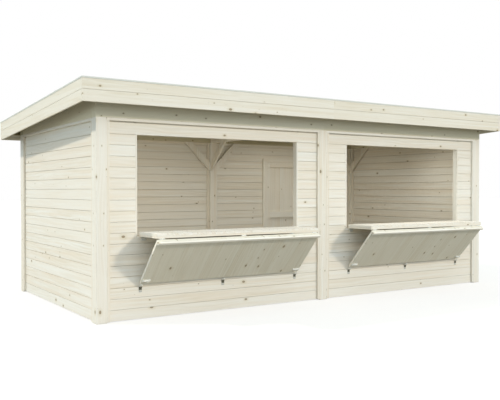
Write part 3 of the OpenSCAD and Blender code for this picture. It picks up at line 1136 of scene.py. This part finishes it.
@dataclass
class ServingHatch:
    """One folding hatch: a counter leaf of two layers of boards, and a boarded flap with a batten."""

    side: Side
    joints: dict[str, dict[str, Any]]
    boards: int = 18
    deck_t: float = 0.024
    base_boards: int = 4
    flap_t: float = 0.028
    pin_stand: float = 0.005
    pin_gap: float = 0.004
    batten: tuple[float, float] = (0.025, 0.028)
    batten_ease: float = 0.003
    # The flap's three wood tones are darker than the common wood as painted shade of its face, which
    # looks down at rest.
    flap_shaded_pale: str = "E7E2D1"
    flap_shaded_warm: str = "DDD4BE"
    flap_shaded_late: str = "C7BC9F"
    flap_knots: float = 0.7
    ease: float = 0.002
    groove: float = 0.0016
    nail_in: float = 0.045
    nail_apart: float = 0.056
    deck_knots: float = 0.3

    @property
    def label(self) -> str:
        """Word that starts the names of this hatch's pieces."""
        return self.side.value

    def build(self, nail: "Fastener", steel: bpy.types.Material) -> None:
        """Model both leaves.

        Args:
            nail: Nail for the boards of the counter.
            steel: Finish of the nails.
        """
        self.build_counter()
        self.nail_counter(nail, steel)
        self.build_flap()

    def nail_counter(self, nail: "Fastener", steel: bpy.types.Material) -> None:
        """Nail each board of the counter twice at the front and twice at the back.

        Args:
            nail: Nail for the boards.
            steel: Finish of the nails.
        """
        node = f"{self.label}_counter"
        low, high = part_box(node)
        pitch = (high.x - low.x) / self.boards
        spots = []
        for i in range(self.boards):
            for apart in (-self.nail_apart / 2, self.nail_apart / 2):
                for y in (low.y + self.nail_in, high.y - self.nail_in):
                    spot = Vector((low.x + (i + 0.5) * pitch + apart, y, high.z - nail.sunk))
                    spots.append((spot, Axis.Z.unit))
        nail.set_in(f"{node}_nails", spots, f"{node}_leaf", steel)

    def build_counter(self) -> None:
        """Model the counter leaf: boards to the front over boards along the wall."""
        node = f"{self.label}_counter"
        low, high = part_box(node)
        split = high.z - self.deck_t
        deck = BoardStack(Axis.Y, Axis.X, self.ease, self.groove)
        deck.lay_row(Vector((low.x, low.y, split)), high, self.boards)
        pitch = (high.x - low.x) / self.boards
        wood = Timber(f"{node}_deck", Axis.Y, Axis.X, pitch, low.x, seed=3.0, knots=self.deck_knots)
        deck.finish(f"{node}_boards", wood, f"{node}_leaf", node)
        base = BoardStack(Axis.X, Axis.Y, self.ease, self.groove)
        base.lay_row(low, Vector((high.x, high.y, split)), self.base_boards)
        wide = (high.y - low.y) / self.base_boards
        wood = Timber(f"{node}_base", Axis.X, Axis.Y, wide, low.y, seed=5.0)
        base.finish(f"{node}_base", wood, f"{node}_leaf")

    def build_flap(self) -> None:
        """Model the flap in its own frame and lean it under the counter."""
        node = f"{self.label}_flap"
        hinge = self.joints[f"{self.label}_flap_hinge"]
        pin = Vector(hinge["pos_m"])
        lean = math.radians(hinge["range_deg"][1] - 90.0)
        seat = Matrix.Translation(pin) @ Matrix.Rotation(lean, 4, "X")
        corner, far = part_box(f"{self.label}_counter")
        half = (far.x - corner.x) / 2
        face = -self.pin_stand - self.flap_t
        foot = (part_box(node)[0].z - pin.z - face * math.sin(lean)) / math.cos(lean)
        row = BoardStack(Axis.Z, Axis.X, self.ease / 2, self.groove / 2)
        head = Vector((half, -self.pin_stand, -self.pin_gap))
        row.lay_row(Vector((-half, face, foot)), head, self.boards)
        leaf = row.join(f"{node}_boards")
        own = (pin.x, pin.y, pin.z)
        pitch = 2 * half / self.boards
        # The darker flap tones are painted shade.
        looks = (self.flap_shaded_pale, self.flap_shaded_warm, self.flap_shaded_late, self.flap_knots)
        wood = Timber(f"{node}_timber", Axis.Z, Axis.X, pitch, -half, 7.0, own, lean, *looks)
        dressed(leaf, wood.material())
        self.lip(leaf, half)
        leaf.data.transform(seat)
        settle(leaf, f"{node}_leaf", "timber", node)
        thick, tall = self.batten
        low = Vector((-half, face - thick, -self.pin_gap - tall))
        rail = block(f"{node}_batten", low, Vector((half, face, -self.pin_gap)))
        ease_edges(rail, lambda a, b: abs(a.x - b.x) > half, self.batten_ease)
        rail.data.transform(seat)
        seat_of = {"shift": own, "lean": lean}
        strip = Timber(f"{node}_batten_timber", Axis.X, start=-5.0, seed=9.0, **seat_of)
        dressed(rail, strip.material())
        settle(rail, f"{node}_leaf", "timber")

    def lip(self, leaf: bpy.types.Object, half: float) -> None:
        """Give the two ends of the flap, still in its own frame, a paler wood: the common wood without
        knots, free of the painted shade on the flap's faces.

        Args:
            leaf: Boards of the flap.
            half: Half the length of the flap.
        """
        leaf.data.materials.append(Timber(f"{self.label}_flap_lip", Axis.Z, knots=0.0).material())
        for face in leaf.data.polygons:
            if abs(face.normal.x) > FACING and abs(face.center.x) > half - self.ease:
                face.material_index = 1


@dataclass
class RearDoor:
    """Boarded door: upright boards outside, stiles and rails inside."""

    boards: int = 8
    board_t: float = 0.012
    stile_w: float = 0.095
    rail_h: float = 0.100
    mid_z: float = 0.960
    ease: float = 0.001
    groove: float = 0.0006
    stop_w: float = 0.022
    stop_t: float = 0.010
    stop_gap: float = 0.005
    gap: float = 0.008
    strip_pitch: float = 0.5

    def strip_wood(self, name: str, grain: Axis, stack: Axis, seed: float) -> Timber:
        """Wood of the stiles, the rails or the stops."""
        return Timber(f"door_{name}_timber", grain, stack, self.strip_pitch, 0.0, seed)

    def build(self) -> None:
        """Model the boards, the stiles and the rails."""
        low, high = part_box("door_leaf")
        split = high.y - self.board_t
        row = BoardStack(Axis.Z, Axis.X, self.ease, self.groove)
        row.lay_row(Vector((low.x, split, low.z)), high, self.boards)
        pitch = (high.x - low.x) / self.boards
        wood = Timber("door_board_timber", Axis.Z, Axis.X, pitch, low.x, seed=13.0)
        row.finish("door_boards", wood, "rear_door", "door_leaf")
        stiles = BoardStack(Axis.Z, Axis.X, self.ease)
        for start in (low.x, high.x - self.stile_w):
            stiles.lay(Vector((start, low.y, low.z)), Vector((start + self.stile_w, split, high.z)))
        stiles.finish("door_stiles", self.strip_wood("stile", Axis.Z, Axis.X, seed=17.0), "rear_door")
        rails = BoardStack(Axis.X, Axis.Z, self.ease)
        spans = [
            (low.z, low.z + self.rail_h),
            (self.mid_z - self.rail_h / 2, self.mid_z + self.rail_h / 2),
            (high.z - self.stile_w, high.z),
        ]
        for foot, head in spans:
            near = Vector((low.x + self.stile_w, low.y, foot))
            rails.lay(near, Vector((high.x - self.stile_w, split, head)))
        rails.finish("door_rails", self.strip_wood("rail", Axis.X, Axis.Z, seed=19.0), "rear_door")
        self.build_stop()

    def build_stop(self) -> None:
        """Model the strips on the frame that the closed door stops at."""
        low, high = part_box("door_leaf")
        low.x -= self.gap
        high.x += self.gap
        high.z += self.gap
        back = low.y - self.stop_gap
        front = back - self.stop_t
        sides = BoardStack(Axis.Z, Axis.X, self.ease)
        for start in (low.x, high.x - self.stop_w):
            sides.lay(Vector((start, front, low.z)), Vector((start + self.stop_w, back, high.z)))
        sides.finish("door_stop_sides", self.strip_wood("stop", Axis.Z, Axis.X, seed=21.0), "stall")
        top = BoardStack(Axis.X, Axis.Z, self.ease)
        near = Vector((low.x + self.stop_w, front, high.z - self.stop_w))
        top.lay(near, Vector((high.x - self.stop_w, back, high.z)))
        top.finish("door_stop_head", self.strip_wood("stop_head", Axis.X, Axis.Z, seed=22.0), "stall")


@dataclass
class Roof:
    """Roof boards that run down the slope, and felt laid in lapped lengths."""

    boards: int = 55
    board_t: float = 0.020
    ease: float = 0.002
    groove: float = 0.002
    laps: int = 4
    lap_w: float = 0.08
    lap_t: float = 0.003
    lap_in: float = 0.004
    felt_ease: float = 0.0015
    # Steep faces of the felt take paler colours as painted light on the roof's edge.
    lit_edge_finish: MineralFelt = MineralFelt("felt_lit_edge", "E2E2D8", "C9CAC0", "EFEFE8")
    edge_steep: float = 0.5
    raw_knots: float = 0.4
    raw_seed: float = 23.0

    def raw_shaded_wood(self, pitch: float, start: float) -> Timber:
        """Unplaned wood of the roof boards, darkened partly as painted shade, from their width and the
        place of the first one.
        """
        looks = {"seed": self.raw_seed, "knots": self.raw_knots, **RAW_SHADED_TONES}
        return Timber("roof_board_timber", Axis.Y, Axis.X, pitch, start, **looks)

    @staticmethod
    def sloped(piece: bpy.types.Object, start: float) -> None:
        """Let a level piece follow the fall of the roof.

        Args:
            piece: The level piece.
            start: Depth at which the fall starts.
        """
        slope = Matrix.Identity(4)
        slope[2][1] = -ROOF_FALL
        slope[2][3] = ROOF_FALL * start
        piece.data.transform(slope)

    def build(self, nodes: dict[str, bpy.types.Object], felt: bpy.types.Material) -> None:
        """Model the roof boards and the felt.

        Args:
            nodes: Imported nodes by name.
            felt: Finish of the felt.
        """
        low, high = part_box("roof_deck")
        row = BoardStack(Axis.Y, Axis.X, self.ease, self.groove)
        row.lay_row(Vector((low.x, low.y, high.z - self.board_t)), high, self.boards)
        deck = row.join("roof_boards")
        self.sloped(deck, low.y)
        pitch = (high.x - low.x) / self.boards
        dressed(deck, self.raw_shaded_wood(pitch, low.x).material())
        settle(deck, "stall", "timber", "roof_deck")
        cover = dressed(eased_copy(nodes["roof_felt"], "felt_cover", self.felt_ease), felt)
        # The felt's steep faces get the paler edge colours as painted light.
        cover.data.materials.append(self.lit_edge_finish.material())
        for face in cover.data.polygons:
            face.material_index = int(abs(face.normal.z) < self.edge_steep)
        settle(cover, "stall", "roofing_felt", "roof_felt")
        edge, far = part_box("roof_felt")
        step = (far.y - edge.y) / self.laps
        strips = BoardStack(Axis.X, Axis.Y, self.lap_t / 2)
        for i in range(1, self.laps):
            start = edge.y + i * step
            near = Vector((edge.x + self.lap_in, start, far.z))
            end = Vector((far.x - self.lap_in, start + self.lap_w, far.z + self.lap_t))
            strips.lay(near, end, False, True)
        seams = strips.join("felt_laps")
        self.sloped(seams, edge.y)
        settle(dressed(seams, felt), "stall", "roofing_felt")


@dataclass(frozen=True)
class Fastener:
    """A small round head that is modelled once and set at many spots.

    The crown and the recess are shares of the height, and the rim is a share of the radius.
    """

    radius: float
    height: float
    sides: int = 10
    recess: bool = False
    sunk: float = 0.0004
    crown_from: float = 0.9
    crown: float = 0.55
    rim: float = 0.25
    recess_depth: float = 0.6

    def pattern(self) -> bpy.types.Object:
        """Model one head on the plane z = 0, with its crown up.

        Returns:
            The head.
        """
        bpy.ops.object.select_all(action="DESELECT")
        bpy.ops.mesh.primitive_cylinder_add(
            vertices=self.sides, radius=self.radius, depth=self.height, location=(0, 0, self.height / 2)
        )
        head = bpy.context.object
        bpy.ops.object.transform_apply(location=True, rotation=True, scale=True)
        shoulder = self.height * self.crown_from
        ease_edges(head, lambda a, b: min(a.z, b.z) > shoulder, self.height * self.crown, 1)
        if self.recess:
            self.sink(head)
        return head

    def sink(self, head: bpy.types.Object) -> None:
        """Press a driver recess into the crown of a head.

        Args:
            head: The head.
        """
        select_faces(head, lambda normal: normal.z > SQUARE_ON)
        mode("EDIT")
        bpy.ops.mesh.inset(thickness=self.radius * self.rim)
        down = (0, 0, -self.height * self.recess_depth)
        bpy.ops.mesh.extrude_region_move(TRANSFORM_OT_translate={"value": down})
        mode("OBJECT")

    def set_in(
        self, name: str, spots: Iterable[tuple[Vector, Vector]], body: str, material: bpy.types.Material
    ) -> bpy.types.Object:
        """Set heads at many spots as one piece.

        Args:
            name: Name of the piece.
            spots: Place and outward direction of each head.
            body: Body that the piece moves with.
            material: Finish of the heads.

        Returns:
            The piece.
        """
        head = self.pattern()
        heads = []
        for spot, out in spots:
            turn = out.to_track_quat("Z", "Y").to_matrix().to_4x4()
            heads.append(copied(head, Matrix.Translation(spot) @ turn))
        bpy.data.objects.remove(head)
        return settle(dressed(joined(heads, name), material), body, "zinc_steel")


@dataclass
class Fittings:
    """Plated hinges, bolts, catches and door furniture, with their screws."""

    catch_w: float = 0.034
    catch_t: float = 0.004
    screw_up: float = 0.016
    strap_t: float = 0.003
    strap_heights: tuple[float, ...] = (1.634, 0.960, 0.240)
    strap_screws: tuple[float, ...] = (0.06, 0.13, 0.20, 0.27)
    catch_screw: Fastener = Fastener(radius=0.0085, height=0.004, sides=14, recess=True)
    strap_screw: Fastener = Fastener(radius=0.0055, height=0.002, sides=12, recess=True)
    dull_zinc: Zinc = Zinc("dull_zinc", "D2D1C6", "BAB9AE")
    plated: tuple[str, ...] = (
        "sill_hinge_plates",
        "left_counter_hinges",
        "left_flap_hinges",
        "left_bolts",
        "right_counter_hinges",
        "right_flap_hinges",
        "right_bolts",
        "door_hinge_plates",
        "door_straps",
        "door_handle",
    )

    def build(self, nodes: dict[str, bpy.types.Object], zinc: bpy.types.Material) -> None:
        """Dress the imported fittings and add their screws.

        Args:
            nodes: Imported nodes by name.
            zinc: Finish of the fittings.
        """
        for name in self.plated:
            dressed(nodes[name], zinc)
            LOG.info("%s keeps its packed shape", name)
        dressed(nodes["flap_catches"], CatchSteel().material())
        self.screw_catches(self.dull_zinc.material())
        self.screw_straps(zinc)

    def screw_catches(self, zinc: bpy.types.Material) -> None:
        """Screw the foot of each catch to the wall.

        Args:
            zinc: Finish of the screws.
        """
        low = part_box("flap_catches")[0]
        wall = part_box("front_left_wall_low")[0].y
        spots = []
        for side in Side:
            left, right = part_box(f"{side.value}_flap")
            inset = self.catch_w / 2
            for x in (left.x + inset, (left.x + right.x) / 2, right.x - inset):
                spot = Vector((x, wall - self.catch_t, low.z + self.screw_up))
                spots.append((spot, -Axis.Y.unit))
        self.catch_screw.set_in("catch_screws", spots, "stall", zinc)

    def screw_straps(self, zinc: bpy.types.Material) -> None:
        """Screw the straps to the boards of the rear door.

        Args:
            zinc: Finish of the screws.
        """
        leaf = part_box("door_leaf")
        spots = []
        for z in self.strap_heights:
            for reach in self.strap_screws:
                spot = Vector((leaf[0].x + reach, leaf[1].y + self.strap_t - self.strap_screw.sunk, z))
                spots.append((spot, Axis.Y.unit))
        self.strap_screw.set_in("strap_screws", spots, "rear_door", zinc)


@dataclass
class Nailing:
    """Nails of the fascias and of the laths beside the posts.

    Half the width of a lath is a share of the space between two wall fields.
    """

    nail: Fastener
    apart: float = 0.05
    step: float = 0.78
    edge: float = 0.06
    fascia_h: float = 0.119
    half_lath: float = 0.125

    def build(self, steel: bpy.types.Material) -> None:
        """Set the nails.

        Args:
            steel: Finish of the nails.
        """
        self.nail_fronts(steel)
        self.nail_sides(steel)
        self.nail_laths(steel)

    def places(self, low: float, high: float) -> list[float]:
        """Even places along a board that start and end near its ends.

        Args:
            low: One end of the board.
            high: The other end.

        Returns:
            The places.
        """
        count = max(2, round((high - low) / self.step) + 1)
        room = high - low - 2 * self.edge
        return [low + self.edge + room * i / (count - 1) for i in range(count)]

    def pairs(self, head: float) -> list[float]:
        """Heights of two nails in each of the two boards under a roof edge."""
        middles = (head - self.fascia_h / 2, head - 1.5 * self.fascia_h)
        return [z + d for z in middles for d in (-self.apart / 2, self.apart / 2)]

    def nail_fronts(self, steel: bpy.types.Material) -> None:
        """Nail the fascias along the front and the rear.

        Args:
            steel: Finish of the nails.
        """
        spots = []
        for node, out in (("front_fascia", -Axis.Y.unit), ("rear_fascia", Axis.Y.unit)):
            low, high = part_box(node)
            y = low.y + self.nail.sunk if out.y < 0 else high.y - self.nail.sunk
            head = high.z - ROOF_FALL * (y - low.y)
            for x in self.places(low.x, high.x):
                spots += [(Vector((x, y, z)), out) for z in self.pairs(head)]
        self.nail.set_in("eave_nails", spots, "stall", steel)

    def nail_sides(self, steel: bpy.types.Material) -> None:
        """Nail the fascias along the two ends.

        Args:
            steel: Finish of the nails.
        """
        low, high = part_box("side_fascias")
        spots = []
        for x, out in ((low.x + self.nail.sunk, -Axis.X.unit), (high.x - self.nail.sunk, Axis.X.unit)):
            for y in self.places(low.y, high.y):
                head = high.z - ROOF_FALL * (y - low.y)
                spots += [(Vector((x, y, z)), out) for z in self.pairs(head)]
        self.nail.set_in("end_nails", spots, "stall", steel)

    def nail_laths(self, steel: bpy.types.Material) -> None:
        """Nail the outer laths beside the front posts.

        Args:
            steel: Finish of the nails.
        """
        low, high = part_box("front_laths")
        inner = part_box("front_left_wall_low")[1].x
        lath = self.half_lath * (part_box("front_right_wall_low")[0].x - inner)
        columns = (low.x + lath, inner - lath, -inner + lath, high.x - lath)
        spots = []
        for x in columns:
            for z in self.places(low.z + self.edge, high.z - self.edge):
                spots.append((Vector((x, low.y + self.nail.sunk, z)), -Axis.Y.unit))
        self.nail.set_in("lath_nails", spots, "stall", steel)


# Picture


class LampKind(Enum):
    """Kinds of light in the studio."""

    SUN = "SUN"
    AREA = "AREA"


@dataclass(frozen=True)
class Lamp:
    """One studio light: a sun with a spread in degrees, or a room light with a spread in metres."""

    name: str
    kind: LampKind
    strength: float
    spread: float
    way: tuple[float, float, float] = (0.0, 0.0, -1.0)
    spot: tuple[float, float, float] = (0.0, 0.0, 0.0)
    tint: tuple[float, float, float] = (1.0, 1.0, 1.0)
    length: float = 2.4

    def build(self) -> None:
        """Hang the light."""
        lamp = bpy.data.lights.new(self.name, self.kind.value)
        lamp.energy = self.strength
        lamp.color = self.tint
        if self.kind is LampKind.SUN:
            lamp.angle = math.radians(self.spread)
        else:
            lamp.shape = "RECTANGLE"
            lamp.size = self.length
            lamp.size_y = self.spread
        holder = bpy.data.objects.new(self.name, lamp)
        holder.location = self.spot
        holder.rotation_euler = Vector(self.way).to_track_quat("-Z", "Y").to_euler()
        bpy.context.scene.collection.objects.link(holder)
        LOG.info("%s hangs", self.name)


DAYLIGHT = (1.0, 0.915, 0.80)
SKYLIGHT = (1.0, 0.92, 0.86)
ROOMLIGHT = (1.0, 1.0, 0.94)
COOL_SKY = (0.86, 1.0, 1.0)

LAMPS = (
    Lamp("front_light", LampKind.SUN, 1.14, 6.0, (-0.30, 0.48, -0.28), tint=DAYLIGHT),
    Lamp("sky_light", LampKind.SUN, 0.74, 90.0, (0.05, 0.68, -0.70), tint=SKYLIGHT),
    Lamp("left_light", LampKind.SUN, 1.86, 2.0, (0.66, -0.42, -0.76), tint=DAYLIGHT),
    Lamp("left_low_light", LampKind.SUN, 0.24, 20.0, (1.0, 0.0, -0.08), tint=COOL_SKY),
    Lamp("left_top_light", LampKind.AREA, 19.6, 0.4, (0.0, 0.25, -1.0), (-1.45, -0.1, 2.07), ROOMLIGHT),
    Lamp("rear_top_light", LampKind.AREA, 5.0, 0.25, (0.0, 0.1, -1.0), (1.3, 0.8, 2.1), ROOMLIGHT, 1.8),
    Lamp("right_top_light", LampKind.AREA, 13.0, 0.4, (0, -0.1, -1), (1.6, -0.65, 2.07), ROOMLIGHT, 1.4),
)


@dataclass
class Studio:
    """White studio: camera at the photograph's place, the lights, a pale floor and a plain sky."""

    camera_at: tuple[float, float, float] = (-5.507, -8.0437, 1.377)
    camera_turn: tuple[float, float, float] = (89.17, 0.0, -33.15)
    lens: float = 49.6
    sensor: float = 36.0
    ambient: float = 1.03
    sky: tuple[float, float, float, float] = (0.67, 0.83, 0.96, 1.0)
    floor_size: float = 160.0
    floor_z: float = -0.0005
    floor_tone: tuple[float, float, float, float] = (0.285, 0.272, 0.24, 1.0)
    floor_glow: float = 0.70

    def build(self) -> None:
        """Set the camera, the lights, the floor and the world."""
        self.set_camera()
        for lamp in LAMPS:
            lamp.build()
        self.lay_floor()
        self.light_world()
        bpy.context.scene.view_settings.view_transform = "Standard"

    def set_camera(self) -> None:
        """Put the camera where the photograph was taken."""
        view = bpy.data.cameras.new("camera")
        view.sensor_fit = "HORIZONTAL"
        view.sensor_width = self.sensor
        view.lens = self.lens
        camera = bpy.data.objects.new("camera", view)
        camera.location = self.camera_at
        camera.rotation_euler = Euler([math.radians(v) for v in self.camera_turn])
        bpy.context.scene.collection.objects.link(camera)
        bpy.context.scene.camera = camera

    def lay_floor(self) -> None:
        """Lay a pale floor that is white to the camera and keeps the stall's shadow."""
        bpy.ops.object.select_all(action="DESELECT")
        bpy.ops.mesh.primitive_plane_add(size=self.floor_size, location=(0, 0, self.floor_z))
        floor = bpy.context.object
        floor.name = "floor"
        bpy.ops.object.transform_apply(location=True, rotation=True, scale=True)
        graph = Graph.of_material("pale_floor")
        matt = graph.node("ShaderNodeBsdfDiffuse", {}, {"Color": self.floor_tone})
        glow = graph.node("ShaderNodeEmission", {}, {"Strength": self.floor_glow})
        both = graph.node("ShaderNodeAddShader", {}, {0: matt, 1: glow})
        shown = graph.node("ShaderNodeMixShader", {}, {0: graph.seen(), 1: matt, 2: both})
        graph.node("ShaderNodeOutputMaterial", {}, {"Surface": shown})
        dressed(floor, graph.owner)

    def light_world(self) -> None:
        """Make the world white to the camera and a plain soft light for the rest."""
        world = bpy.data.worlds.new("studio")
        bpy.context.scene.world = world
        graph = Graph(world)
        soft = graph.node("ShaderNodeBackground", {}, {"Color": self.sky, "Strength": self.ambient})
        white = graph.node("ShaderNodeBackground", {}, {"Color": (1.0, 1.0, 1.0, 1.0)})
        shown = graph.node("ShaderNodeMixShader", {}, {0: graph.seen(), 1: soft, 2: white})
        graph.node("ShaderNodeOutputWorld", {}, {"Surface": shown})


INSIDE_JOINTS = {"groove": 0.006, "seam": 0.25}

WALL_FIELDS = (
    WallField(
        "front_left_boards",
        ("front_left_wall_low", "front_left_wall_piers", "front_left_wall_top"),
        Axis.X,
        "left_opening_lining",
        groove=0.003,
        seed=41.0,
    ),
    WallField(
        "front_right_boards",
        ("front_right_wall_low", "front_right_wall_piers", "front_right_wall_top"),
        Axis.X,
        "right_opening_lining",
        groove=0.003,
        seed=2.0,
    ),
    WallField("left_wall_boards", ("left_wall",), Axis.Y, seed=3.0),
    WallField("right_wall_boards", ("right_wall",), Axis.Y, seed=4.0, **INSIDE_JOINTS),
    WallField("rear_left_boards", ("rear_left_wall",), Axis.X, seed=5.0, **INSIDE_JOINTS),
    WallField(
        "rear_right_boards",
        ("rear_right_wall_beside", "rear_right_wall_over"),
        Axis.X,
        "door_frame",
        seed=6.0,
        **INSIDE_JOINTS,
    ),
)

# Header tones, darker than the common wood as painted shade under the eave.
SHADED_BEAM_TONES = {"pale": "E8E0C8", "warm": "DCD2B4"}
FASCIA_TONES = {"pale": "EBE6D9", "warm": "E2D8C3"}

FRAME_TIMBERS = (
    FrameTimber("front_posts", 43.0, 0.004, 0.85),
    FrameTimber("rear_posts", 2.0, 0.004, 0.7),
    FrameTimber("front_header", 3.0, 0.003, **SHADED_BEAM_TONES),
    # The rear header's darker tones are painted shade of the room's top.
    FrameTimber("rear_header", 4.0, 0.003, pale="CFC6A8", warm="C2B795"),
    FrameTimber("side_headers", 5.0, 0.003, **SHADED_BEAM_TONES),
    FrameTimber("centre_tie", 6.0, 0.003),
    FrameTimber("purlins", 7.0),
    FrameTimber("knee_braces", 8.0, 0.003),
    FrameTimber("front_laths", 9.0, knots=0.3),
    FrameTimber("rear_laths", 10.0, knots=0.3),
    FrameTimber("side_laths", 11.0, knots=0.3),
    FrameTimber("left_opening_lining", 12.0, knots=0.3),
    FrameTimber("right_opening_lining", 13.0, knots=0.3),
    FrameTimber("door_frame", 14.0),
    # The backs of the front and side fascias and the eaves battens take the raw tones with painted shade
    # of the eave.
    FrameTimber("front_fascia", 15.0, 0.002, 0.35, **FASCIA_TONES, raw_shaded_toward=Axis.Y),
    FrameTimber("rear_fascia", 16.0, 0.002, 0.35, **FASCIA_TONES),
    FrameTimber("side_fascias", 17.0, 0.002, 0.35, **FASCIA_TONES, raw_shaded_toward=Axis.X),
    FrameTimber("eaves_battens", 18.0, **RAW_SHADED_TONES),
)

BOARD_NAIL = Fastener(radius=0.0042, height=0.0012)
TRIM_NAIL = Fastener(radius=0.003, height=0.0010)
LOST_HEADS = NailSteel("lost_head_steel", "C9C0AC", "D8D0BC")


def main() -> None:
    """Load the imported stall, dress it and set up its picture."""
    logging.basicConfig(level=logging.INFO, format="%(name)s: %(message)s")
    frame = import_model()
    nodes = frame["nodes"]
    joints = {joint["name"]: joint for joint in frame["joints"]}
    zinc = Zinc().material()
    felt = MineralFelt().material()
    Studio().build()
    for wall in WALL_FIELDS:
        wall.build()
    for timber in FRAME_TIMBERS:
        timber.build(nodes)
    steel = NailSteel().material()
    for side in Side:
        ServingHatch(side, joints).build(BOARD_NAIL, steel)
    RearDoor().build()
    Roof().build(nodes, felt)
    Fittings().build(nodes, zinc)
    Nailing(TRIM_NAIL).build(LOST_HEADS.material())


if __name__ == "__main__":
    main()
